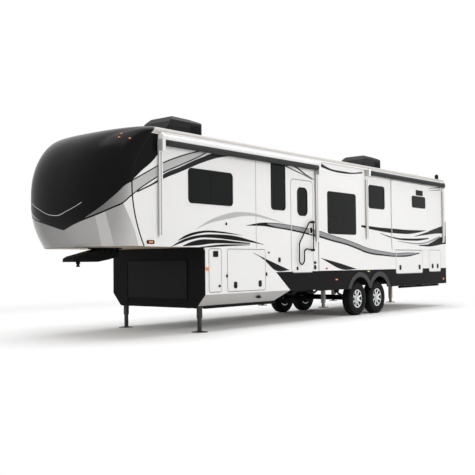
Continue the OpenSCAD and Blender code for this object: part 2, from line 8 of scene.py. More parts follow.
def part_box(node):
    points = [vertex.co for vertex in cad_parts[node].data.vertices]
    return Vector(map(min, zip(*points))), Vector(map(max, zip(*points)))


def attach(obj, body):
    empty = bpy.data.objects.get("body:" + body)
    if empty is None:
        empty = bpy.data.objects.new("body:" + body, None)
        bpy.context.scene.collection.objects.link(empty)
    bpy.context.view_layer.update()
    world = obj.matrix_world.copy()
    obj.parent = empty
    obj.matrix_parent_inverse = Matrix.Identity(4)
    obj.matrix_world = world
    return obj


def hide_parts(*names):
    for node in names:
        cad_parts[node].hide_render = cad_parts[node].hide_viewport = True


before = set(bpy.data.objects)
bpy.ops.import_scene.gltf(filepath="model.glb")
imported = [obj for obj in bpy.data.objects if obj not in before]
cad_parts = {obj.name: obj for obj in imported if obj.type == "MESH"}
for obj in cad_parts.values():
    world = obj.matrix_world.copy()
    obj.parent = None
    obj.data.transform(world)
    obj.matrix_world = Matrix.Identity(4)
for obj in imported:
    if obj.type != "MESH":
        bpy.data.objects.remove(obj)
print("frame loaded:", len(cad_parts), "nodes")


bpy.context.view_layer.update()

# Stations are metres forward of the rear wall; the frame's origin lies under the middle of the length
wallLow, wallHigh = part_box("side_wall_left")
halfWidth = float(wallHigh[1])
layout = {
    "midStation": -float(wallLow[0]),
    "decalLift": 0.0016,
    "slideProud": float(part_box("slide_main")[1][1]) - halfWidth,
    "wheelSide": 1.052,
}
# Height up to which the walls are painted: the gutter covers what is above
wallTop = 3.43


def stationX(station):
    return station - layout["midStation"]


def faceOf(raised):
    # How far from the middle a wall's face lies, or with 1 a slide room's
    return halfWidth + raised * layout["slideProud"]


def owned(piece, body):
    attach(piece, body)
    return piece


# Surfaces as numpy grids

def gridQuads(rows, columns, closeU=False, closeV=False):
    # One quad for each step of u and v; closeU and closeV join the last row or column to the first
    u = np.arange(rows if closeU else rows - 1)
    v = np.arange(columns if closeV else columns - 1)
    uu, vv = np.meshgrid(u, v, indexing="ij")
    un, vn = (uu + 1) % rows, (vv + 1) % columns
    corners = [uu * columns + vv, un * columns + vv, un * columns + vn, uu * columns + vn]
    return np.stack(corners, -1).reshape(-1, 4)


def meshFromGrid(name, points, material, closeU=False, closeV=False, flip=False, smooth=True):
    quads = gridQuads(*points.shape[:2], closeU, closeV)
    if flip:
        quads = quads[:, ::-1]
    return meshFromArrays(name, points.reshape(-1, 3), quads, material, smooth)


def meshFromArrays(name, vertices, faces, material, smooth=True):
    # Faces with two corners that agree are triangles
    faceList = [list(dict.fromkeys(map(int, f))) for f in faces]
    mesh = bpy.data.meshes.new(name)
    mesh.from_pydata(vertices.tolist(), [], faceList)
    mesh.validate()
    mesh.polygons.foreach_set("use_smooth", np.full(len(mesh.polygons), smooth))
    mesh.materials.append(material)
    mesh.update()
    piece = bpy.data.objects.new(name, mesh)
    bpy.context.scene.collection.objects.link(piece)
    return piece


def meshFromParts(name, parts, material):
    # Stacks (vertices, faces) pairs into one mesh
    counts = np.cumsum([0] + [len(v) for v, f in parts])
    faces = [f + count for (v, f), count in zip(parts, counts)]
    return meshFromArrays(name, np.concatenate([v for v, f in parts]), np.concatenate(faces), material)


def roundBlockArrays(centre, size, squareness=0.25, rows=10, columns=20):
    # Superquadric: a sphere whose sines and cosines are raised to a small power, so its faces flatten
    u = np.linspace(-np.pi / 2, np.pi / 2, rows)
    v = np.linspace(-np.pi, np.pi, columns, endpoint=False)
    uu, vv = np.meshgrid(u, v, indexing="ij")

    def power(a):
        return np.sign(a) * np.abs(a) ** squareness

    x = power(np.cos(uu)) * power(np.cos(vv))
    y = power(np.cos(uu)) * power(np.sin(vv))
    z = power(np.sin(uu))
    points = np.stack([x, y, z], -1).reshape(-1, 3) * np.array(size) / 2 + np.array(centre)
    return points, np.roll(gridQuads(rows, columns, closeV=True)[:, ::-1], 1, axis=1)


def tubeArrays(path, radius, sides=12):
    # A circle carried along a path, closed by a vertex at each end
    tangent = np.gradient(path, axis=0)
    tangent /= np.linalg.norm(tangent, axis=1)[:, None]
    helper = np.where(np.abs(tangent[:, 2:3]) > 0.9, np.array([[1.0, 0, 0]]), np.array([[0, 0, 1.0]]))
    side = np.cross(tangent, helper)
    side /= np.linalg.norm(side, axis=1)[:, None]
    up = np.cross(side, tangent)
    angle = np.linspace(0, 2 * np.pi, sides, endpoint=False)[None, :, None]
    rings = path[:, None] + (np.cos(angle) * side[:, None] + np.sin(angle) * up[:, None]) * radius
    count = len(path)
    vertices = np.concatenate([rings.reshape(-1, 3), path[:1], path[-1:]])
    k = np.arange(sides)
    n = (k + 1) % sides
    last = (count - 1) * sides
    low = np.stack([np.full(sides, count * sides), n, k, k], -1)
    high = np.stack([np.full(sides, count * sides + 1), last + k, last + n, last + n], -1)
    body = np.roll(gridQuads(count, sides, closeV=True), -1, axis=1)
    return vertices, np.concatenate([body, low[:, ::-1], high[:, ::-1]])


def tubePiece(name, paths, radius, material, sides=12):
    return meshFromParts(name, [tubeArrays(p, radius, sides) for p in paths], material)


def blocksPiece(name, blocks, material, squareness=0.25):
    # Each block is (centre, size)
    return meshFromParts(name, [roundBlockArrays(c, s, squareness) for c, s in blocks], material)


# Shader groups shared by several materials

def newGroup(name, inputs, outputs):
    group = bpy.data.node_groups.new(name, "ShaderNodeTree")
    for label, kind, value in inputs:
        socket = group.interface.new_socket(name=label, in_out="INPUT", socket_type=kind)
        if value is not None:
            socket.default_value = value
    for label, kind in outputs:
        group.interface.new_socket(name=label, in_out="OUTPUT", socket_type=kind)
    return group, group.nodes.new("NodeGroupInput"), group.nodes.new("NodeGroupOutput")


def mathNode(tree, operation, *values):
    # Each value is a number or the socket that feeds the input
    node = tree.nodes.new("ShaderNodeMath")
    node.operation = operation
    for socket, value in zip(node.inputs, values):
        if isinstance(value, float):
            socket.default_value = value
        else:
            tree.links.new(value, socket)
    return node.outputs[0]


def grimeGroup():
    # Two noises: a slow one shifts colour and roughness a little, a fine one gives the grain's height
    group, gin, gout = newGroup(
        "paintLife",
        [("Colour", "NodeSocketColor", (1, 1, 1, 1)), ("Tint", "NodeSocketFloat", 0.05),
         ("Slow scale", "NodeSocketFloat", 1.2), ("Fine scale", "NodeSocketFloat", 90.0),
         ("Roughness", "NodeSocketFloat", 0.3), ("Roughness change", "NodeSocketFloat", 0.08)],
        [("Colour", "NodeSocketColor"), ("Roughness", "NodeSocketFloat"), ("Height", "NodeSocketFloat")])
    nodes, links = group.nodes, group.links
    coords = nodes.new("ShaderNodeTexCoord")
    slow = nodes.new("ShaderNodeTexNoise")
    fine = nodes.new("ShaderNodeTexNoise")
    slow.inputs["Detail"].default_value = 3
    fine.inputs["Detail"].default_value = 4
    for noise, label in ((slow, "Slow scale"), (fine, "Fine scale")):
        links.new(coords.outputs["Object"], noise.inputs["Vector"])
        links.new(gin.outputs[label], noise.inputs["Scale"])
    centred = mathNode(group, "SUBTRACT", slow.outputs["Fac"], 0.5)
    bright = mathNode(group, "ADD", mathNode(group, "MULTIPLY", centred, gin.outputs["Tint"]), 1.0)
    scaled = nodes.new("ShaderNodeVectorMath")
    scaled.operation = "SCALE"
    links.new(gin.outputs["Colour"], scaled.inputs[0])
    links.new(bright, scaled.inputs["Scale"])
    links.new(scaled.outputs["Vector"], gout.inputs["Colour"])
    rough = mathNode(group, "MULTIPLY_ADD", centred, gin.outputs["Roughness change"],
                     gin.outputs["Roughness"])
    links.new(rough, gout.inputs["Roughness"])
    links.new(fine.outputs["Fac"], gout.inputs["Height"])
    return group


paintLife = grimeGroup()


def paint(name, colour, roughness=0.3, tint=0.05, slow=1.2, fine=90.0, bump=0.02, change=0.08,
          metallic=0.0, coat=0.0, coatRoughness=0.05, specular=0.5):
    colour = colour if isinstance(colour, tuple) else (colour,) * 3
    material = bpy.data.materials.new(name)
    material.use_nodes = True
    nodes, links = material.node_tree.nodes, material.node_tree.links
    shader = nodes["Principled BSDF"]
    life = nodes.new("ShaderNodeGroup")
    life.node_tree = paintLife
    for label, value in (("Colour", (*colour, 1)), ("Tint", tint), ("Slow scale", slow), ("Fine scale", fine),
                         ("Roughness", roughness), ("Roughness change", change)):
        life.inputs[label].default_value = value
    links.new(life.outputs["Colour"], shader.inputs["Base Color"])
    links.new(life.outputs["Roughness"], shader.inputs["Roughness"])
    bumpNode = nodes.new("ShaderNodeBump")
    bumpNode.inputs["Strength"].default_value = bump
    bumpNode.inputs["Distance"].default_value = 0.002
    links.new(life.outputs["Height"], bumpNode.inputs["Height"])
    links.new(bumpNode.outputs["Normal"], shader.inputs["Normal"])
    for label, value in (("Metallic", metallic), ("Coat Weight", coat), ("Coat Roughness", coatRoughness),
                         ("Specular IOR Level", specular)):
        shader.inputs[label].default_value = value
    return material


mats = {
    # name, colour or grey, roughness, tint
    "wall": paint("gelcoatWhite", (0.735, 0.73, 0.72), 0.38, 0.014, slow=0.5, bump=0.01, change=0.02,
                  coat=0.1, coatRoughness=0.2),
    "roof": paint("roofMembrane", (0.44, 0.42, 0.395), 0.6, 0.08, slow=2.0, fine=60, bump=0.05),
    "belly": paint("bellyGrey", (0.43, 0.42, 0.405), 0.42, 0.06),
    "cap": paint("capGelcoat", (0.004, 0.004, 0.0042), 0.22, 0.1, bump=0.01, coat=0.015, specular=0.06),
    "skirt": paint("skirtBlack", (0.0055, 0.0055, 0.0058), 0.5, 0.15, bump=0.05, specular=0.06),
    "trim": paint("archTrim", (0.035, 0.035, 0.036), 0.55, 0.1, fine=400, bump=0.15, specular=0.25),
    "chassis": paint("chassisPaint", 0.005, 0.5, 0.3, fine=120, bump=0.12, specular=0.06),
    "spring": paint("springSteel", (0.02, 0.018, 0.017), 0.5, 0.3, fine=160, bump=0.2, specular=0.3),
    "bulkhead": paint("bulkheadPanel", (0.013, 0.013, 0.0135), 0.5, 0.1, bump=0.05, specular=0.06),
    "floor": paint("floorBoard", (0.33, 0.26, 0.18), 0.6, 0.2, slow=3, fine=40, bump=0.1),
    "leg": paint("legSteel", (0.016, 0.014, 0.013), 0.4, 0.3, fine=150, bump=0.1, metallic=0.3),
    "glass": paint("tintedGlass", (0.008, 0.0085, 0.009), 0.1, 0.1, slow=0.8, bump=0.0, change=0.02,
                   specular=0.07),
    "plastic": paint("blackPlastic", (0.008, 0.008, 0.0083), 0.42, 0.15, fine=300, bump=0.1, specular=0.12),
    "vent": paint("ventWhite", (0.62, 0.615, 0.6), 0.45, 0.05),
    "awning": paint("awningArm", (0.76, 0.76, 0.755), 0.35, 0.04),
    "lampRed": paint("lampRed", (0.42, 0.015, 0.012), 0.12, 0.1, coat=0.8),
    "lampAmber": paint("lampAmber", (0.85, 0.18, 0.015), 0.15, 0.1, coat=0.8),
    "ladder": paint("ladderAluminium", (0.66, 0.67, 0.68), 0.32, 0.08, metallic=0.9),
    "tyre": paint("tyreRubber", 0.006, 0.62, 0.25, fine=500, bump=0.2, change=0.15, specular=0.1),
    "alloy": paint("polishedAlloy", (0.72, 0.73, 0.74), 0.18, 0.06, metallic=1.0, bump=0.01),
    "black": paint("blackTrim", 0.006, 0.4, 0.1, specular=0.08),
    # Tan-grey of the arms' centre strips, and painted shade on the arms' forward sides
    "armFaceAndShade": paint("awningArmFaceAndShade", (0.36, 0.345, 0.325), 0.45, 0.05),
    "whiteLine": paint("whiteLine", (0.74, 0.735, 0.725), 0.35, 0.02),
    "lampYellow": paint("lampYellow", (0.85, 0.62, 0.16), 0.2, 0.05, coat=0.5),
    "fabric": paint("awningFabric", (0.016, 0.016, 0.017), 0.8, 0.2, fine=900, bump=0.3),
    "stripeGrey": paint("stripeGrey", (0.42, 0.42, 0.415), 0.3, 0.04),
    "stripeMid": paint("stripeMid", (0.23, 0.23, 0.235), 0.3, 0.04),
    "stripeDark": paint("stripeDark", (0.018, 0.018, 0.019), 0.4, 0.05, specular=0.08),
    "stripeBlack": paint("stripeBlack", 0.006, 0.4, 0.05, specular=0.08),
    "capGrey": paint("capSilver", (0.44, 0.435, 0.425), 0.2, 0.03, coat=0.5),
    "line": paint("panelLine", (0.3, 0.3, 0.295), 0.5, 0.05),
    "chrome": paint("brightSteel", 0.8, 0.12, 0.02, metallic=1.0),
}


def gradientPaint(name, axis, table, grain=0.22, tint=0.03, metallic=0.0):
    # The colour runs through the table's (place, value) pairs along X (as stations) or Y
    material = paint(name, 0.4, grain, tint, coat=0.1, specular=0.3, metallic=metallic)
    nodes, links = material.node_tree.nodes, material.node_tree.links
    coords = nodes.new("ShaderNodeTexCoord")
    axes = nodes.new("ShaderNodeSeparateXYZ")
    links.new(coords.outputs["Object"], axes.inputs[0])
    shift = layout["midStation"] if axis == "X" else 0
    first, last = table[0][0], table[-1][0]
    place = nodes.new("ShaderNodeMapRange")
    place.inputs["From Min"].default_value = first - shift
    place.inputs["From Max"].default_value = last - shift
    links.new(axes.outputs[axis], place.inputs["Value"])
    ramp = nodes.new("ShaderNodeValToRGB")
    elements = ramp.color_ramp.elements
    while len(elements) < len(table):
        elements.new(0.5)
    for element, (position, value) in zip(elements, table):
        element.position = (position - first) / (last - first)
        element.color = (*value, 1) if isinstance(value, tuple) else (value, value * 0.985, value * 0.965, 1)
    links.new(place.outputs["Result"], ramp.inputs["Fac"])
    life = next(n for n in nodes if n.type == "GROUP")
    links.new(ramp.outputs["Color"], life.inputs["Colour"])
    return material


# The front pair of jacks is grey steel, the rear pair is painted tan
mats["jack"] = gradientPaint("jackSteel", "X", [(4.1, (0.27, 0.21, 0.165)), (4.3, (0.2, 0.19, 0.18))],
                             grain=0.4, tint=0.2)

# Nodes by material; those that aren't named here are wall panels, or tyres and rims
nodesOf = {
    "chassis": "chassis_frame cross_members axles pin_box", "spring": "leaf_springs", "floor": "floor_deck",
    "belly": "belly_pan", "skirt": "front_bulkhead skirts", "roof": "roof", "cap": "front_cap",
    "glass": "windows entry_door_window slide_main_window slide_kitchen_window slide_living_window",
    "trim": "arch_trims", "leg": "front_legs", "jack": "levelling_jacks", "plastic": "roof_air_units",
    "vent": "roof_vents", "awning": "awnings", "lampRed": "tail_lamps", "ladder": "rear_ladder",
    "black": "grab_rail",
}
materialOf = {node: key for key, names in nodesOf.items() for node in names.split()}
for nodeName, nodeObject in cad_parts.items():
    key = materialOf.get(nodeName) or {"tyre": "tyre", "rim": "alloy"}.get(nodeName.split("_")[0], "wall")
    for slot in nodeObject.material_slots:
        slot.material = mats[key]
print("materials done:", len(mats))

# Camera, light and floor

cameraSettings = {
    "place": (20.1022, 10.2452, 1.2323), "heading": 3.8344, "pitch": 0.0351, "roll": -0.01, "lens": 56.79,
}


def makeCamera():
    s = cameraSettings
    data = bpy.data.cameras.new("photoCamera")
    data.lens = s["lens"]
    data.sensor_width = 36
    data.clip_end = 400
    camera = bpy.data.objects.new("photoCamera", data)
    bpy.context.scene.collection.objects.link(camera)
    yaw, pitch = s["heading"], s["pitch"]
    forward = np.array([math.cos(yaw) * math.cos(pitch), math.sin(yaw) * math.cos(pitch), math.sin(pitch)])
    right = np.array([math.sin(yaw), -math.cos(yaw), 0.0])
    up = np.cross(right, forward)
    c, n = math.cos(s["roll"]), math.sin(s["roll"])
    basis = np.stack([c * right + n * up, -n * right + c * up, -forward], 1)
    station, y, z = s["place"]
    camera.matrix_world = Matrix.Translation((stationX(station), y, z)) \
        @ Matrix([list(row) for row in basis]).to_4x4()
    bpy.context.scene.camera = camera


makeCamera()

lightSettings = {
    "world": 0.55, "key": 820, "fill": 240, "top": 1500, "floorColour": 0.94,
    "floorRings": [0.01, 5, 10, 20, 40, 70], "floorFade": (6.4, 11.5),
}


def areaLight(name, place, target, size, energy):
    data = bpy.data.lights.new(name, "AREA")
    data.shape = "RECTANGLE"
    data.size, data.size_y = size
    data.energy = energy
    lamp = bpy.data.objects.new(name, data)
    lamp.location = place
    lamp.rotation_euler = (Vector(target) - Vector(place)).to_track_quat("-Z", "Y").to_euler()
    lamp.visible_glossy = name == "softTop"
    bpy.context.scene.collection.objects.link(lamp)


areaLight("softTop", (0, 0, 12), (0, 0, 0), (20, 10), lightSettings["top"])
areaLight("keyLeft", (-3, 14, 7), (-3, 0, 1.8), (14, 6), lightSettings["key"])
areaLight("fillFront", (16, 2, 5), (4, 0, 2), (6, 6), lightSettings["fill"])


def whiteToCamera(tree, mask=None):
    # The camera, glossy and transmission rays see plain white where the mask is 1
    path = tree.nodes.new("ShaderNodeLightPath")
    factor = path.outputs["Is Camera Ray"]
    for ray in ("Is Glossy Ray", "Is Transmission Ray"):
        factor = mathNode(tree, "MAXIMUM", factor, path.outputs[ray])
    return factor if mask is None else mathNode(tree, "MULTIPLY", factor, mask)


def mixInto(tree, socket, factor, dark, white):
    mix = tree.nodes.new("ShaderNodeMixShader")
    for target, source in zip(mix.inputs, (factor, dark, white)):
        tree.links.new(source, target)
    tree.links.new(mix.outputs[0], socket)


def makeWorld():
    world = bpy.data.worlds.new("studio")
    bpy.context.scene.world = world
    world.use_nodes = True
    tree = world.node_tree
    tree.nodes.clear()
    out = tree.nodes.new("ShaderNodeOutputWorld")
    lit, white = (tree.nodes.new("ShaderNodeBackground") for k in range(2))
    for background, strength in ((lit, lightSettings["world"]), (white, 1.0)):
        background.inputs["Color"].default_value = (1, 1, 1, 1)
        background.inputs["Strength"].default_value = strength
    mixInto(tree, out.inputs[0], whiteToCamera(tree), lit.outputs[0], white.outputs[0])


def makeFloor():
    # A disc of rings; its colour fades to plain white towards the rim
    r = np.array(lightSettings["floorRings"])
    a = np.linspace(0, 2 * np.pi, 65)[:-1]
    low = np.zeros((len(r), len(a))) - 0.0005
    points = np.stack([r[:, None] * np.cos(a), r[:, None] * np.sin(a), low], -1)
    material = bpy.data.materials.new("studioFloor")
    material.use_nodes = True
    tree = material.node_tree
    nodes, links = tree.nodes, tree.links
    shader = nodes["Principled BSDF"]
    shader.inputs["Roughness"].default_value = 0.9
    c = lightSettings["floorColour"]
    shader.inputs["Base Color"].default_value = (c, c, c, 1)
    coords = nodes.new("ShaderNodeTexCoord")
    length = nodes.new("ShaderNodeVectorMath")
    length.operation = "LENGTH"
    links.new(coords.outputs["Object"], length.inputs[0])
    fade = nodes.new("ShaderNodeMapRange")
    for label, value in zip(("From Min", "From Max"), lightSettings["floorFade"]):
        fade.inputs[label].default_value = value
    fade.interpolation_type = "SMOOTHSTEP"
    links.new(length.outputs["Value"], fade.inputs["Value"])
    white = nodes.new("ShaderNodeEmission")
    mixInto(tree, nodes["Material Output"].inputs["Surface"], whiteToCamera(tree, fade.outputs["Result"]),
            shader.outputs[0], white.outputs[0])
    meshFromGrid("studioFloor", points, material, closeV=True)


makeWorld()
makeFloor()
bpy.context.scene.view_settings.view_transform = "Standard"
print("camera, light and floor done")

# The front cap as one smooth shell

capSettings = {
    "noseStation": 12.43, "noseHeight": 2.25, "noseTuck": 0.31, "crownStation": 11.38, "nosePower": 2.5,
    "seamStation": 11.9, "seamHeight": 2.55, "seamLow": 0.255, "seamHigh": 0.58, "squareness": 2.5,
    "edgeRadius": 0.12, "shell": 0.035,
}
capBottom, capTop = (float(corner[2]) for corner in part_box("front_cap"))


def seamStation(z):
    s = capSettings
    bow = np.where(z < s["seamHeight"], s["seamLow"], s["seamHigh"])
    return s["seamStation"] - bow * (z - s["seamHeight"]) ** 2


def noseStation(z):
    s = capSettings
    low = s["noseStation"] - s["noseTuck"] * ((s["noseHeight"] - z) / (s["noseHeight"] - capBottom)) ** 2
    rise = np.clip((z - s["noseHeight"]) / (capTop + 0.004 - s["noseHeight"]), 0, 1)
    high = s["crownStation"] + (s["noseStation"] - s["crownStation"]) \
        * (1 - rise ** s["nosePower"]) ** (1 / s["nosePower"])
    return np.where(z < s["noseHeight"], low, high)


def bodyHalf(z):
    r = capSettings["edgeRadius"]
    over = np.clip(z - capTop + r, 0, r)
    return halfWidth - r + np.sqrt(np.maximum(r * r - over * over, 0))


def capPoints(turn, z, lift=0.0):
    # Turn runs from 0 at the seam's left end round the nose to 1 at its right end: a superellipse in plan
    a = np.pi * turn
    n = 2 / capSettings["squareness"]
    x0, x1, w = seamStation(z), noseStation(z) + lift, bodyHalf(z) + lift
    x = x0 + (x1 - x0) * np.sin(a) ** n
    y = w * np.sign(np.cos(a)) * np.abs(np.cos(a)) ** n
    return np.stack([stationX(x), y, z + lift * np.clip((z - 3.2) / 0.3, 0, 1)], -1)


def capTurns(count):
    # Turns packed closer at the corners, where the superellipse runs fast
    t = np.linspace(0, 1, count)
    return t - 0.055 * np.sin(4 * np.pi * t)


def makeCap():
    turn = capTurns(121)
    rise = np.linspace(0, 1, 61)
    z = capBottom + (capTop - capBottom) * (1 - (1 - rise) ** 1.8)
    tt, zz = np.meshgrid(turn, z, indexing="ij")
    points = capPoints(tt, zz)
    # The crown closes the top: the last row is drawn back to a line across the roof's front edge
    crown = points[:, -1:, :].copy()
    crown[:, 0, 0] = stationX(seamStation(np.array(capTop)))
    points = np.concatenate([points, crown], 1)
    shell = meshFromGrid("capShell", points, mats["cap"], flip=True)
    thick = shell.modifiers.new("shellThickness", "SOLIDIFY")
    thick.thickness = capSettings["shell"]
    thick.offset = -1
    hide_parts("front_cap")
    owned(shell, "trailer")


makeCap()


def capBand(name, low, high, material, turns, rows, columns=160):
    # A band on the cap between two heights that are functions of the turn
    tt = np.linspace(turns[0], turns[1], columns)
    lowZ, highZ = low(tt), high(tt)
    v = np.linspace(0, 1, rows)
    zz = lowZ[:, None] + (highZ - lowZ)[:, None] * v
    points = capPoints(np.broadcast_to(tt[:, None], zz.shape), zz, layout["decalLift"])
    owned(meshFromGrid(name, points, material, flip=True), "trailer")


def curveThrough(xs, ys):
    # A smooth curve through a few named points, monotone between them
    xs, ys = np.asarray(xs, float), np.asarray(ys, float)
    slopes = np.diff(ys) / np.diff(xs)
    inner = np.where(slopes[1:] * slopes[:-1] > 0, (slopes[1:] + slopes[:-1]) / 2, 0)
    tangents = np.concatenate([[slopes[0]], inner, [slopes[-1]]])

    def value(x):
        x = np.clip(x, xs[0], xs[-1])
        i = np.clip(np.searchsorted(xs, x) - 1, 0, len(xs) - 2)
        h = xs[i + 1] - xs[i]
        t = (x - xs[i]) / h
        return ((2 * t ** 3 - 3 * t ** 2 + 1) * ys[i] + (t ** 3 - 2 * t ** 2 + t) * h * tangents[i]
                + (3 * t ** 2 - 2 * t ** 3) * ys[i + 1] + (t ** 3 - t ** 2) * h * tangents[i + 1])
    return value


# Heights by the turn from the seam (0) to the middle of the nose (0.5); the right half mirrors the left
capLines = {
    "silverTop": ([0.0, 0.051, 0.088, 0.155, 0.225, 0.31, 0.398, 0.464, 0.5],
                  [2.365, 2.274, 2.224, 2.167, 2.105, 2.033, 1.963, 1.893, 1.838]),
    "swooshTop": ([0.0, 0.064, 0.099, 0.182, 0.256, 0.349, 0.365],
                  [2.575, 2.497, 2.431, 2.287, 2.163, 2.029, 2.004]),
    "veeLine": ([0.37, 0.414, 0.473, 0.507, 0.556, 0.62, 0.741],
                [2.258, 2.193, 2.116, 2.069, 2.098, 2.188, 2.335]),
}
# Light painted into the silver field, band by band: the far edge of each band (the turn at the
# paintedReflectionHeights) and the band's colour along X (stations) or Y. Each band is the silver paint with
# light painted in: Edge, Band and Glint are painted reflections; Nose is painted shading, lighter on the near
# side, darkest on the far side, silver again at the far edge
capSheen = [
    ("Edge", [0.045, 0.029, 0.045, 0.079, 0.09], "X", [(11.7, 0.7), (12.0, 0.7)]),
    ("Band", [0.25, 0.226, 0.222, 0.221, 0.221], "X", [(11.87, 0.47), (12.14, 0.3)]),
    ("Glint", [0.336, 0.307, 0.296, 0.29, 0.29], "X", [(11.9, 0.46), (12.3, 0.44)]),
    ("Nose", 0.5, "Y", [(-1.15, 0.44), (-0.8, 0.2), (-0.6, 0.15), (0.3, 0.29), (0.9, 0.34)]),
]
paintedReflectionHeights = [1.55, 1.77, 2.02, 2.24, 2.4]


def mirrored(curve):
    return lambda t: curve(np.where(t > 0.5, 1 - t, t))


silverTop = mirrored(curveThrough(*capLines["silverTop"]))
swooshTop = mirrored(curveThrough(*capLines["swooshTop"]))
veeLine = curveThrough(*capLines["veeLine"])


def paintedReflectionBand(name, leftEdge, rightEdge, material, farMaterial):
    # Several passes, because the band's top depends on the turn and its edges on the height
    u, v = np.meshgrid(np.linspace(0, 1, 24), np.linspace(0, 1, 24), indexing="ij")
    low = capBottom + 0.004
    z = np.full(u.shape, 1.8)
    for k in range(6):
        turn = leftEdge(z) + u * (rightEdge(z) - leftEdge(z))
        z = low + v * (silverTop(turn) - 0.016 - low)
    for side, t, paintOf in (("Left", turn, material), ("Right", 1 - turn, farMaterial)):
        points = capPoints(t, z, layout["decalLift"])
        owned(meshFromGrid("cap" + name + side, points, paintOf, flip=side == "Left"), "trailer")


def paintedReflectionEdge(value):
    if isinstance(value, list):
        return curveThrough(paintedReflectionHeights, value)
    return lambda z: np.full(np.shape(z), float(value))


# On the far half the Glint and Band give way to the Nose's painted shading, so that side has no painted glint
previous = 0.0
paintedReflectionPaints = {label: gradientPaint("capSheen" + label, axis, table) for label, last, axis, table in capSheen}
for label, last, axis, table in capSheen:
    far = paintedReflectionPaints["Edge" if label == "Edge" else "Nose"]
    paintedReflectionBand("Sheen" + label, paintedReflectionEdge(previous), paintedReflectionEdge(last), paintedReflectionPaints[label], far)
    previous = last
swooshPaint = gradientPaint("capSwoosh", "X", [(11.9, 0.42), (12.05, 0.26), (12.3, 0.12)])
for label, span in (("Left", (0.0, 0.362)), ("Right", (0.638, 1.0))):
    capBand("capSwoosh" + label, lambda t: silverTop(t) + 0.01, swooshTop, swooshPaint, span, 6, 70)
capBand("capVee", lambda t: veeLine(t) - 0.005, lambda t: veeLine(t) + 0.005, mats["capGrey"],
        (0.372, 0.735), 3)
print("cap done")


# Stripes on the sides. Each is a band between two curves of the station, and the panels cut it up,
# so that every piece rides on the body whose face it lies on

leftPanels = {
    # body, low station, high station, low height, high height, 1 where the face is a slide room's
    "WallAhead": ("trailer", 7.5, 8.374, 0.7, wallTop, 0),
    "WallOverBags": ("trailer", 8.374, 11.895, 1.513, wallTop, 0),
    "WallBetweenBags": ("trailer", 9.531, 9.696, 0.7, 1.513, 0),
    "WallNose": ("trailer", 10.045, 10.135, 0.7, 1.513, 0),
    "BagPass": ("bag_door_pass_left", 8.385, 9.52, 0.724, 1.5, 0),
    "BagNarrow": ("bag_door_narrow", 9.707, 10.034, 0.731, 1.501, 0),
    "Door": ("entry_door", 6.693, 7.487, 1.046, 2.976, 0),
    "AboveDoor": ("trailer", 6.683, 7.5, 2.988, wallTop, 0),
    "WallBehindDoor": ("trailer", 6.497, 6.683, 1.065, wallTop, 0),
    "MainRoom": ("slide_main", 4.703, 6.487, 1.067, 3.197, 1),
    "AboveMain": ("trailer", 4.697, 6.497, 3.206, wallTop, 0),
    "WallMiddle": ("trailer", 3.19, 4.697, 1.065, wallTop, 0),
    "KitchenRoom": ("slide_kitchen", 1.133, 3.182, 1.565, 3.297, 1),
    "AboveKitchen": ("trailer", 1.125, 3.19, 3.306, wallTop, 0),
    "BagRear": ("bag_door_rear", 1.491, 2.954, 0.953, 1.532, 0),
    "WallBehindBag": ("trailer", 2.964, 3.19, 1.065, 1.556, 0),
    "WallOverBag": ("trailer", 1.481, 2.964, 1.542, 1.557, 0),
    "WallBetweenDoors": ("trailer", 1.076, 1.481, 1.065, 1.557, 0),
    "BagUtility": ("bag_door_utility", 0.371, 1.066, 0.978, 1.547, 0),
    "WallTail": ("trailer", 0.002, 1.125, 1.557, wallTop, 0),
    "WallTailLow": ("trailer", 0.002, 0.361, 1.065, 1.557, 0),
}
rightPanels = {
    "Wall": ("trailer", 5.708, 11.895, 1.513, wallTop, 0),
    "WallAhead": ("trailer", 7.5, 8.374, 0.7, 1.513, 0),
    "BagPass": ("bag_door_pass_right", 8.385, 9.52, 0.724, 1.5, 0),
    "LivingRoom": ("slide_living", 1.904, 5.696, 1.067, 3.197, 1),
    "AboveLiving": ("trailer", 1.896, 5.708, 3.206, wallTop, 0),
    "WallTail": ("trailer", 0.002, 1.892, 1.065, wallTop, 0),
}
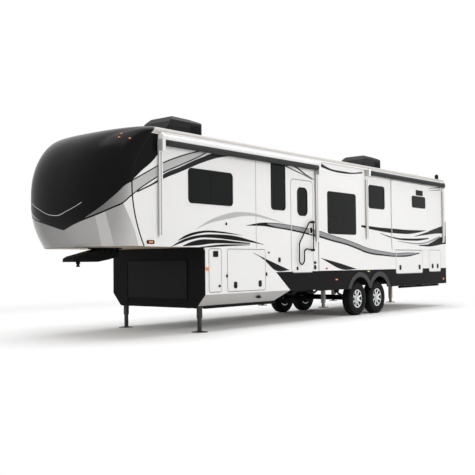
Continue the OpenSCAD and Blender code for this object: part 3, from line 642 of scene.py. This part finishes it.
# Black edging under and over a stripe
edgings = {"upperGrey": (0.024, 0.022)}
stripeTable = [
    # name, material, both sides, upper curve, lower curve
    ("upperGrey", "stripeGrey", True,
     [(10.068, 3.294), (10.255, 3.247), (10.77, 3.095), (11.183, 2.941), (11.336, 2.867), (11.712, 2.676),
      (11.889, 2.589)],
     [(10.068, 3.267), (10.256, 3.175), (10.771, 2.964), (11.185, 2.797), (11.338, 2.708), (11.713, 2.496),
      (11.889, 2.377)]),
    ("upperDark", "stripeDark", True,
     [(9.396, 3.258), (9.794, 3.262), (10.257, 3.13), (10.771, 2.92), (11.185, 2.754), (11.338, 2.64),
      (11.78, 2.434)],
     [(9.396, 3.256), (9.796, 3.177), (10.258, 3.031), (10.772, 2.833), (11.186, 2.678), (11.338, 2.6),
      (11.78, 2.409)]),
    ("arc", "stripeGrey", True,
     [(7.704, 2.048), (8.372, 2.162), (8.783, 2.212), (9.147, 2.214), (9.441, 2.182), (9.727, 2.114),
      (10.003, 2.029), (10.39, 1.848)],
     [(7.704, 2.046), (8.372, 2.122), (8.784, 2.154), (9.149, 2.129), (9.443, 2.079), (9.728, 2.031),
      (10.004, 1.975), (10.39, 1.846)]),
    ("lowOuter", "stripeBlack", True,
     [(9.065, 1.77), (9.59, 1.823), (10.006, 1.839), (10.403, 1.802), (10.659, 1.734), (10.834, 1.652)],
     [(9.065, 1.768), (9.59, 1.795), (10.006, 1.803), (10.404, 1.757), (10.66, 1.69), (10.834, 1.64)]),
    ("lowMiddle", "stripeBlack", True,
     [(8.414, 1.607), (8.853, 1.688), (9.302, 1.755), (9.731, 1.773), (10.141, 1.764), (10.533, 1.71),
      (10.785, 1.636), (11.006, 1.535)],
     [(8.414, 1.602), (8.854, 1.645), (9.304, 1.672), (9.733, 1.7), (10.142, 1.71), (10.533, 1.658),
      (10.785, 1.593), (11.006, 1.53)]),
    ("lowInner", "stripeBlack", True,
     [(8.854, 1.63), (9.303, 1.655), (9.732, 1.678), (10.142, 1.678), (10.483, 1.632), (10.711, 1.559)],
     [(8.854, 1.612), (9.304, 1.612), (9.734, 1.612), (10.01, 1.6), (10.224, 1.575), (10.711, 1.545)]),
    ("lowTail", "stripeDark", True,
     [(8.854, 1.6), (9.304, 1.598), (9.734, 1.588), (10.01, 1.565), (10.35, 1.53)],
     [(8.854, 1.588), (9.304, 1.57), (9.734, 1.55), (10.01, 1.535), (10.35, 1.52)]),
    ("spear", "stripeBlack", True,
     [(1.615, 1.474), (2.305, 1.482), (3.012, 1.465), (3.529, 1.5), (4.264, 1.567), (5.391, 1.765),
      (6.017, 1.855), (6.474, 1.93), (7.53, 2.022), (8.045, 2.045), (8.471, 2.036), (8.971, 1.966)],
     [(1.616, 1.461), (2.309, 1.378), (3.016, 1.369), (3.533, 1.389), (4.268, 1.435), (5.395, 1.636),
      (6.021, 1.717), (6.478, 1.785), (7.532, 1.908), (8.047, 1.944), (8.472, 1.97), (8.971, 1.962)]),
    ("spearLight", "stripeMid", True,
     [(1.8, 1.47), (2.305, 1.47), (3.012, 1.453), (3.529, 1.488), (4.264, 1.555), (5.391, 1.753),
      (6.017, 1.843), (6.474, 1.918), (7.53, 2.01), (8.045, 2.033), (8.3, 2.028)],
     [(1.8, 1.452), (2.309, 1.412), (3.016, 1.398), (3.533, 1.422), (4.268, 1.474), (5.395, 1.672),
      (6.021, 1.754), (6.478, 1.824), (7.532, 1.94), (8.047, 1.975), (8.3, 2.01)]),
    ("shardFront", "stripeBlack", True,
     [(7.56, 1.092), (8.063, 1.238), (8.42, 1.342), (8.765, 1.448)],
     [(7.56, 1.088), (8.063, 1.096), (8.42, 1.305), (8.765, 1.444)]),
    ("shardFrontLine", "whiteLine", True,
     [(7.7, 1.178), (8.2, 1.33), (8.62, 1.462)], [(7.7, 1.17), (8.2, 1.318), (8.62, 1.456)]),
    ("shardMain", "stripeBlack", False,
     [(4.927, 1.085), (5.704, 1.228), (6.43, 1.341)], [(4.927, 1.081), (5.581, 1.085), (6.43, 1.335)]),
    ("doorSlashHigh", "stripeDark", False,
     [(6.622, 3.038), (6.925, 3.127), (7.467, 3.291), (7.69, 3.244)],
     [(6.622, 3.024), (6.925, 3.098), (7.467, 3.25), (7.69, 3.216)]),
    ("doorSlashLow", "stripeDark", False,
     [(6.7, 3.034), (6.925, 3.093), (7.467, 3.203), (7.66, 3.236)],
     [(6.7, 3.02), (6.925, 3.075), (7.467, 3.178), (7.66, 3.214)]),
    ("roofSwoosh", "stripeDark", True,
     [(4.582, 3.379), (5.128, 3.319), (5.772, 3.319), (6.181, 3.371), (6.339, 3.422)],
     [(4.584, 3.343), (5.129, 3.284), (5.563, 3.27), (5.98, 3.289), (6.341, 3.334)]),
    ("rearUpper", "stripeBlack", False,
     [(1.291, 2.083), (1.708, 2.075), (2.449, 2.067), (3.2, 2.079), (3.859, 2.088), (4.482, 2.112),
      (4.697, 2.116)],
     [(1.291, 2.074), (1.711, 2.017), (2.453, 1.959), (3.204, 1.966), (3.862, 2.003), (4.484, 2.052),
      (4.697, 2.075)]),
    ("rearLower", "stripeBlack", False,
     [(1.117, 1.883), (1.892, 1.851), (2.731, 1.842), (3.259, 1.882), (3.764, 1.951)],
     [(1.118, 1.855), (1.894, 1.793), (2.733, 1.799), (3.26, 1.852), (3.765, 1.939)]),
    ("rearThin", "stripeMid", False,
     [(0.356, 1.954), (1.304, 1.77), (1.897, 1.734), (2.461, 1.752), (2.895, 1.77)],
     [(0.359, 1.897), (1.306, 1.73), (1.898, 1.7), (2.462, 1.726), (2.895, 1.758)]),
    ("rearRise", "stripeDark", True,
     [(0.12, 2.245), (0.279, 2.222), (1.293, 2.027), (2.005, 1.904)],
     [(0.12, 2.02), (0.288, 2.025), (1.296, 1.96), (2.005, 1.9)]),
    ("rearWedge", "stripeBlack", True,
     [(0.012, 1.97), (0.292, 1.927), (0.747, 1.807), (1.123, 1.719), (1.724, 1.684)],
     [(0.012, 1.74), (0.302, 1.716), (0.753, 1.669), (1.127, 1.648), (1.725, 1.663)]),
    ("rearSlashA", "stripeBlack", True, [(0.294, 3.334), (1.059, 3.232)], [(0.294, 3.305), (1.059, 3.226)]),
    ("rearSlashB", "stripeBlack", True, [(0.298, 3.262), (0.999, 3.192)], [(0.298, 3.235), (0.999, 3.186)]),
]


def sideWord(side):
    return "Left" if side > 0 else "Right"


def sideBand(name, material, lowCurve, highCurve, reach, lift, side, density=14):
    panels = leftPanels if side > 0 else rightPanels
    for panelName, (body, x0, x1, z0, z1, raised) in panels.items():
        a, b = max(x0, reach[0]), min(x1, reach[1])
        if b - a < 0.008:
            continue
        x = np.linspace(a, b, max(6, int(density * (b - a)) + 6))
        low = np.clip(lowCurve(x), z0, z1)
        high = np.clip(highCurve(x), z0, z1)
        solid = high - low > 0.0004
        if solid.sum() < 2:
            continue
        first, last = np.flatnonzero(solid)[[0, -1]]
        x, low, high = x[first:last + 1], low[first:last + 1], np.maximum(high, low)[first:last + 1]
        y = side * (faceOf(raised) + lift)
        zz = low[:, None] + (high - low)[:, None] * np.linspace(0, 1, 2)
        xx = np.broadcast_to(stationX(x)[:, None], zz.shape)
        points = np.stack([xx, np.full(zz.shape, y), zz], -1)
        label = name + sideWord(side) + panelName
        owned(meshFromGrid(label, points, mats[material], flip=side > 0, smooth=False), body)


def makeStripes():
    # Bands that lie on another band are lifted a little more
    lift = layout["decalLift"]
    for name, material, bothSides, upper, lower in stripeTable:
        edging = edgings.get(name)
        highCurve = curveThrough(*zip(*upper))
        lowCurve = curveThrough(*zip(*lower))
        reach = (upper[0][0], upper[-1][0])
        for side in (1, -1) if bothSides else (1,):
            if edging:
                sideBand(name + "Edge", "stripeBlack", lambda x: lowCurve(x) - edging[0],
                         lambda x: highCurve(x) + edging[1], reach, lift, side)
            above = edging or material == "whiteLine" or name == "spearLight"
            sideBand(name, material, lowCurve, highCurve, reach, lift * (1.7 if above else 1), side)


# The cap's black runs back over the upper front corner of each wall, as far as the seam in front
headEdge = curveThrough([10.741, 10.988, 11.18, 11.323, 11.711, 11.811, 11.875],
                        [wallTop, 3.365, 3.3, 3.071, 2.75, 2.668, 2.615])


def seamHeight(x):
    # The height at which the seam's upper part crosses a station
    s = capSettings
    rise = np.sqrt(np.maximum(s["seamStation"] - x, 0) / s["seamHigh"])
    return np.minimum(wallTop, s["seamHeight"] + rise - 0.006)


def seamStrip(side):
    # A black strip down the edge of the wall, where it meets the cap
    z = np.linspace(capBottom + 0.004, wallTop, 70)
    x = seamStation(z)[:, None] + np.array([-0.021, 0.003, 0.006])
    y = np.broadcast_to(halfWidth + np.array([0.004, 0.004, 0.0008]), x.shape)
    points = np.stack([stationX(x), side * y, np.broadcast_to(z[:, None], x.shape)], -1)
    strip = meshFromGrid("seamStrip" + sideWord(side), points, mats["black"], flip=side > 0, smooth=False)
    owned(strip, "trailer")


makeStripes()
for side in (1, -1):
    seamStrip(side)
    sideBand("headBlack", "cap", headEdge, seamHeight, (10.741, 11.875), layout["decalLift"] * 2.3, side, 60)
print("stripes done")


# Windows: a black frame round each pane, and a thin bar where a pane is parted

def roundedOutline(box, offset, corner=10):
    # Points of a rounded rectangle [x0, x1, z0, z1, r] grown by the offset, anticlockwise
    x0, x1, z0, z1, r = box
    r = max(r + offset, 0.004)
    x0, x1, z0, z1 = x0 - offset, x1 + offset, z0 - offset, z1 + offset
    points = []
    corners = ((x1 - r, z1 - r, 0), (x0 + r, z1 - r, 90), (x0 + r, z0 + r, 180), (x1 - r, z0 + r, 270))
    for cx, cz, start in corners:
        for k in range(corner + 1):
            a = math.radians(start + 90 * k / corner)
            points.append((cx + r * math.cos(a), cz + r * math.sin(a)))
    return np.array(points)


def ringPiece(name, box, profile, material, body, side, base):
    # The profile's (offset, height) points are carried round the outline
    rows = []
    for offset, height in profile:
        p = roundedOutline(box, offset)
        rows.append(np.stack([stationX(p[:, 0]), np.full(len(p), side * (base + height)), p[:, 1]], -1))
    owned(meshFromGrid(name, np.stack(rows), mats[material], closeV=True, flip=side < 0), body)


def ringProfile(inner, outer, height):
    soft = min(0.003, height / 2)
    return [(inner, -0.004), (inner, height - soft), (inner + soft, height), (outer - soft, height),
            (outer, height - soft), (outer, -0.004)]


windowTable = [
    # name, body, box, side, raised
    ("windowBedLeft", "trailer", (9.38, 10.55, 2.33, 2.91, 0.06), 1, 0),
    ("windowBath", "trailer", (7.705, 8.15, 2.33, 3.28, 0.06), 1, 0),
    ("windowHall", "trailer", (3.54, 4.28, 2.556, 3.08, 0.06), 1, 0),
    ("windowBedRight", "trailer", (9.38, 10.55, 2.33, 2.91, 0.06), -1, 0),
    ("windowStair", "trailer", (6.76, 7.56, 2.13, 2.91, 0.06), -1, 0),
    ("windowMain", "slide_main", (4.945, 6.14, 1.885, 2.81, 0.06), 1, 1),
    ("windowKitchen", "slide_kitchen", (1.31, 2.08, 2.676, 2.967, 0.05), 1, 1),
    ("windowLiving", "slide_living", (3.0, 4.6, 1.885, 2.81, 0.06), -1, 1),
    ("windowDoor", "entry_door", (6.914, 7.244, 2.25, 2.81, 0.1), 1, 0),
]


for label, body, box, side, raised in windowTable:
    height = 0.0058 if raised else 0.011
    outer = 0.012 if raised else 0.021
    inner = -0.016 if box[4] < 0.1 else -0.03
    ringPiece(label + "Frame", box, ringProfile(inner, outer, height), "black", body, side, faceOf(raised))
print("window frames done")


def boxOn(name, blocks, material, squareness=0.12, body="trailer"):
    # Blocks are (station, y, z, length, depth, height)
    placed = [((stationX(s), y, z), (length, depth, tall)) for s, y, z, length, depth, tall in blocks]
    owned(blocksPiece(name, placed, mats[material], squareness), body)


slideFace = faceOf(1)
boxOn("mainWindowBars", [(5.5, slideFace + 0.003, 2.347, 0.022, 0.008, 0.9),
                         (5.54, slideFace + 0.003, 2.245, 1.17, 0.008, 0.022)], "black", body="slide_main")
boxOn("livingWindowBars", [(3.8, -slideFace - 0.002, 2.347, 0.022, 0.007, 0.9)], "black",
      body="slide_living")
boxOn("bedWindowBars", [(9.965, halfWidth + 0.007, 2.62, 0.018, 0.006, 0.56),
                        (9.965, -halfWidth - 0.007, 2.62, 0.018, 0.006, 0.56)], "black")


# Doors: thin trims, seals, latches and catches

doorTable = [
    # name, body, box, side
    ("entry", "entry_door", (6.69, 7.49, 1.042, 2.98, 0.09), 1),
    ("bagNarrow", "bag_door_narrow", (9.704, 10.037, 0.728, 1.504, 0.045), 1),
    ("bagPassLeft", "bag_door_pass_left", (8.382, 9.523, 0.721, 1.503, 0.045), 1),
    ("bagRear", "bag_door_rear", (1.488, 2.957, 0.95, 1.535, 0.045), 1),
    ("bagUtility", "bag_door_utility", (0.368, 1.069, 0.975, 1.55, 0.045), 1),
    ("bagPassRight", "bag_door_pass_right", (8.382, 9.523, 0.721, 1.503, 0.045), -1),
]
for label, body, box, side in doorTable:
    ringPiece(label + "Trim", box, ringProfile(-0.013, -0.001, 0.0045), "awning", body, side, halfWidth)
    ringPiece(label + "Outline", box, ringProfile(0.0066, 0.0136, 0.0016), "line", "trailer", side, halfWidth)
    ringPiece(label + "Seal", box, [(0.0055, -0.03), (0.0055, -0.004), (0.0015, -0.002), (0.0015, -0.03)],
              "black", "trailer", side, halfWidth)
for label, body, box, side in (("main", "slide_main", (4.7, 6.49, 1.064, 3.2, 0.025), 1),
                               ("kitchen", "slide_kitchen", (1.13, 3.185, 1.562, 3.3, 0.025), 1),
                               ("living", "slide_living", (1.9, 5.7, 1.064, 3.2, 0.025), -1)):
    ringPiece(label + "Gasket", box, [(-0.002, 0.0012), (-0.002, 0.0055), (-0.02, 0.0055), (-0.02, 0.0012)],
              "black", body, side, halfWidth)
    ringPiece(label + "FlangeTrim", box, ringProfile(-0.024, -0.0005, 0.0015), "awning", body, side,
              slideFace)

w = halfWidth
latchTable = {
    # body: side, (station, height) of each latch
    "bag_door_pass_left": (1, [(9.302, 0.836), (8.556, 0.844)]),
    "bag_door_pass_right": (-1, [(9.302, 0.836), (8.556, 0.844)]),
    "bag_door_rear": (1, [(2.743, 1.097), (1.66, 1.099)]),
    "bag_door_utility": (1, [(0.871, 1.119), (0.555, 1.116)]),
}
for body, (side, places) in latchTable.items():
    boxOn(body + "Latches", [(station, side * (w + 0.006), z, 0.088, 0.02, 0.125) for station, z in places],
          "plastic", 0.45, body=body)
boxOn("entryLatch", [(6.785, w + 0.0165, 1.93, 0.064, 0.016, 0.12),
                     (6.775, w + 0.03, 1.93, 0.022, 0.026, 0.075)], "black", 0.3, body="entry_door")
boxOn("entryCatch", [(7.293, w + 0.012, 1.124, 0.04, 0.022, 0.07)], "plastic", 0.35, body="entry_door")
boxOn("narrowCatch", [(9.76, w + 0.006, 0.83, 0.045, 0.018, 0.04)], "plastic", 0.35, body="bag_door_narrow")
boxOn("wallCatches", [(8.268, w + 0.008, 1.45, 0.032, 0.02, 0.036),
                      (7.918, w + 0.009, 1.305, 0.06, 0.024, 0.09),
                      (8.352, w + 0.008, 1.022, 0.034, 0.02, 0.07),
                      (9.558, w + 0.008, 1.974, 0.034, 0.018, 0.05),
                      (9.552, w + 0.008, 1.01, 0.034, 0.02, 0.055)], "plastic", 0.3)
boxOn("socket", [(6.63, w + 0.008, 1.242, 0.075, 0.02, 0.052)], "plastic", 0.3)
boxOn("roundSocket", [(6.628, w + 0.007, 1.142, 0.082, 0.022, 0.1)], "plastic", 0.9)
boxOn("doorVent", [(9.861, w + 0.003, 1.415, 0.136, 0.014, 0.109)], "plastic", 0.15, body="bag_door_narrow")
boxOn("doorVentSlats", [(9.861, w + 0.011, 1.375 + 0.02 * k, 0.112, 0.006, 0.008) for k in range(5)],
      "black", 0.3, body="bag_door_narrow")
boxOn("cornerStrips", [(0.006, s * (w + 0.001), 2.05, 0.034, 0.006, 0.64) for s in (1, -1)], "black", 0.1)
boxOn("panelSeams", [(s, side * (w + 0.0005), 2.49, 0.012, 0.003, 1.9)
                     for s, side in ((8.66, 1), (6.5935, 1), (8.66, -1), (6.2, -1))], "line", 0.05)
boxOn("hoodOutlet", [(1.652, slideFace + 0.0035, 3.0695, 0.39, 0.014, 0.138)], "black", 0.08,
      body="slide_kitchen")
boxOn("hoodSlats", [(1.652, slideFace + 0.0115, 3.022 + k * 0.0315, 0.35, 0.005, 0.012) for k in range(4)],
      "plastic", 0.1, body="slide_kitchen")
print("doors and fittings done")


# The front of the box under the overhang has a shallow recess with a raised rim

bulkheadFace = float(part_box("front_bulkhead")[1][0]) + layout["midStation"]
boxOn("bulkheadPanel", [(bulkheadFace + 0.002, 0, 0.95, 0.008, 1.6, 0.7)], "bulkhead", 0.06)
boxOn("bulkheadRim", [(bulkheadFace + 0.006, side * 0.805, 0.95, 0.02, 0.022, 0.72) for side in (1, -1)]
      + [(bulkheadFace + 0.006, 0, z, 0.02, 1.62, 0.022) for z in (0.595, 1.305)], "skirt", 0.15)


# Lamps

boxOn("amberLamps", [(10.085, side * (w + 0.007), 1.145, 0.075, 0.018, 0.06) for side in (1, -1)]
      + [(5.776, w + 0.004, 0.859, 0.09, 0.012, 0.03), (4.352, -w - 0.004, 1.025, 0.09, 0.012, 0.03)],
      "lampAmber", 0.4)
boxOn("skirtLamp", [(4.352, w + 0.006, 1.025, 0.1, 0.014, 0.024)], "lampYellow", 0.4)
boxOn("redLamps", [(6.211, slideFace + 0.004, 1.112, 0.08, 0.012, 0.036)], "lampRed", 0.4,
      body="slide_main")
boxOn("rearCornerLamps", [(0.2, side * (w + 0.004), 0.76, 0.08, 0.012, 0.05) for side in (1, -1)],
      "lampAmber", 0.4)

# A drain pipe hung behind the wheels, under the left skirt
pipePath = np.stack([stationX(np.linspace(0.12, 2.45, 24)), np.full(24, 1.02), np.full(24, 0.588)], -1)
owned(tubePiece("drainPipe", [pipePath], 0.028, mats["chassis"], 16), "trailer")
boxOn("bellyRails", [(8.87, side * 0.985, 0.444, 2.16, 0.04, 0.06) for side in (1, -1)], "chassis", 0.1)
boxOn("chamferVent", [(8.513, 1.15, 0.58, 0.15, 0.055, 0.06)], "plastic", 1.0)
boxOn("roofDome", [(0.334, 1.14, 3.615, 0.1, 0.1, 0.15)], "plastic", 0.8)
boxOn("drainHangers", [(s, 1.02, 0.648, 0.03, 0.064, 0.15) for s in (0.35, 1.3, 2.25)], "chassis", 0.2)
boxOn("signalBacks", [(11.485, side * (w + 0.004), 1.607, 0.17, 0.014, 0.062) for side in (1, -1)], "black",
      0.25)
boxOn("signalLenses", [(11.485, side * (w + 0.01), 1.607, 0.1, 0.012, 0.032) for side in (1, -1)],
      "lampAmber", 0.4)
for turn, height in ((0.229, 3.387), (0.222, 3.319), (0.136, 3.297)):
    spot = capPoints(np.array([turn]), np.array([height]), 0.002)[0]
    lamp = blocksPiece("clearanceLamp%d" % round(turn * 1000), [(spot, (0.036, 0.022, 0.022))],
                       mats["lampAmber"], 0.4)
    owned(lamp, "trailer")
for label, y in (("tailRims", 1), ("tailRimsRight", -1)):
    rows = []
    for offset, height in ((0.002, 0.0), (0.002, -0.027), (-0.012, -0.027), (-0.012, -0.02)):
        p = roundedOutline((0.93, 1.05, 1.18, 1.56, 0.058), offset)
        rows.append(np.stack([np.full(len(p), stationX(0.0) + height), y * p[:, 0], p[:, 1]], -1))
    owned(meshFromGrid(label, np.stack(rows), mats["chrome"], closeV=True, flip=y < 0), "trailer")


# Awnings: the rolled fabric, the heads, rails and screws of the arms, the arms' tan-grey centre strips,
# painted shade on the forward (+x) sides of heads and rails, and the gutter's white strip

awningSettings = {"y": halfWidth + 0.068, "roll": 0.0556, "arms": [
    # low station, high station, foot, height of the rolled fabric, middle and height of the heads
    (6.56, 11.27, 1.69, 3.287, 3.24, 0.22), (0.19, 4.42, 1.78, 3.374, 3.37, 0.172)]}
rolls, screws, faces, rails, sides, heads = [], [], [], [], [], []
for low, high, foot, rollZ, headZ, headTall in awningSettings["arms"]:
    y = awningSettings["y"]
    xs = stationX(np.linspace(low + 0.034, high - 0.034, 24))
    rolls.append(np.stack([xs, np.full(24, y), np.full(24, rollZ)], -1))
    for x in (stationX(low), stationX(high)):
        for z in np.arange(foot + 0.1, 3.25, 0.45):
            screws.append(((x, halfWidth + 0.0455, z), (0.014, 0.006, 0.014)))
        faces.append(((x, halfWidth + 0.0425, (foot + 3.27) / 2), (0.032, 0.004, 3.22 - foot)))
        rails.append(((x, halfWidth + 0.026, (foot + 3.27) / 2), (0.084, 0.034, 3.26 - foot)))
        heads.append(((x, y - 0.012, headZ), (0.076, 0.148, headTall)))
        # The forward (+x) sides of heads and rails take the darker arm colour: painted shade
        sides.append(((x + 0.038, y - 0.014, headZ), (0.01, 0.128, headTall - 0.02)))
        sides.append(((x + 0.0425, halfWidth + 0.0255, (foot + 3.22) / 2), (0.006, 0.032, 3.2 - foot)))
owned(tubePiece("awningRolls", rolls, awningSettings["roll"], mats["fabric"], 40), "trailer")
for label, blocks, material, squareness in (
        ("awningScrews", screws, "chrome", 0.6), ("awningFaces", faces, "armFaceAndShade", 0.08),
        ("awningRails", rails, "awning", 0.08), ("awningShadedSides", sides, "armFaceAndShade", 0.2),
        ("awningHeads", heads, "awning", 0.35)):
    owned(blocksPiece(label, blocks, mats[material], squareness), "trailer")
boxOn("gutterStrips", [(5.7, side * (halfWidth + 0.0225), 3.459, 11.09, 0.003, 0.03) for side in (1, -1)],
      "awning", 0.04)
print("awnings done")


# Tyres with tread, drawn about each wheel's own axis

tyreSettings = {"radius": 0.388, "width": 0.225, "rim": 0.21, "grooves": [-0.062, -0.021, 0.021, 0.062],
                "blocks": 64, "depth": 0.008}
wheels = []
for corner in ("front", "rear"):
    for side in (1, -1):
        tyre = "tyre_%s_%s" % (corner, sideWord(side).lower())
        wheels.append((tyre, corner.capitalize() + sideWord(side), side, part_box(tyre)))


def tyreGrid():
    # Radius by the place across the tyre; the tread has round grooves and slanted sipes between them
    s = tyreSettings
    half = s["width"] / 2
    side = [(s["rim"], half - 0.02), (s["rim"] + 0.012, half - 0.006), (s["rim"] + 0.045, half - 0.0012),
            (s["rim"] + 0.07, half - 0.0004), (s["rim"] + 0.1, half - 0.003),
            (s["radius"] - 0.03, half - 0.0085),
            (s["radius"] - 0.014, half - 0.017), (s["radius"] - 0.005, half - 0.03)]
    across = np.linspace(half - 0.04, -(half - 0.04), 53)
    profile = [(r, a, 0) for r, a in side] + [(s["radius"] - 0.0004, a, 1) for a in across] \
        + [(r, -a, 0) for r, a in side[::-1]]
    r0, a0, tread = (np.array(v) for v in zip(*profile))
    turns = np.linspace(0, 2 * np.pi, 8 * s["blocks"], endpoint=False)
    t, a = np.meshgrid(turns, a0, indexing="ij")
    radius = np.broadcast_to(r0, t.shape).copy()
    groove = np.zeros_like(radius)
    for g in s["grooves"]:
        groove = np.maximum(groove, np.clip(1.6 - np.abs(a - g) / 0.003, 0, 1))
    phase = (t / (2 * np.pi) * s["blocks"] + a * 14 + 0.35 * np.sign(a)) % 1
    sipe = np.clip(1.5 - np.abs(phase - 0.5) / 0.09, 0, 1)
    radius -= s["depth"] * np.maximum(groove, 0.75 * sipe) * np.broadcast_to(tread, t.shape)
    shoulder = (np.abs(a) > half - 0.034) & (np.abs(a) < half - 0.012)
    radius -= 0.004 * (shoulder * (phase < 0.28) * (radius > s["radius"] - 0.032))
    return radius, a, t


def wheelMesh(name, tyre, side, box, radius, across, turn, material, flip):
    x = (box[0][0] + box[1][0]) / 2 + radius * np.cos(turn)
    z = tyreSettings["radius"] + radius * np.sin(turn)
    piece = meshFromGrid(name, np.stack([x, side * layout["wheelSide"] + across, z], -1), mats[material],
                         closeU=True, flip=flip)
    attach(piece, tyre.replace("tyre", "wheel"))
    return piece


def makeTyres():
    radius, across, turn = tyreGrid()
    for tyre, label, side, box in wheels:
        piece = wheelMesh("tyre" + label, tyre, side, box, radius, across, turn, "tyre", True)
        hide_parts(tyre)


def makeWheelShade():
    # Painted shade inside each wheel: a dark cone close behind the spokes and a dark lining of the barrel
    profile = np.array([(0.062, 0.014), (0.11, 0.026), (0.188, 0.042), (0.1945, 0.052), (0.1945, -0.086)])
    turn, radius = np.meshgrid(np.linspace(0, 2 * np.pi, 48, endpoint=False), profile[:, 0], indexing="ij")
    for tyre, label, side, box in wheels:
        across = side * np.broadcast_to(profile[:, 1], turn.shape)
        back = wheelMesh("wheelShade" + label, tyre, side, box, radius, across, turn, "black", side < 0)


makeTyres()
makeWheelShade()
print("tyres done")
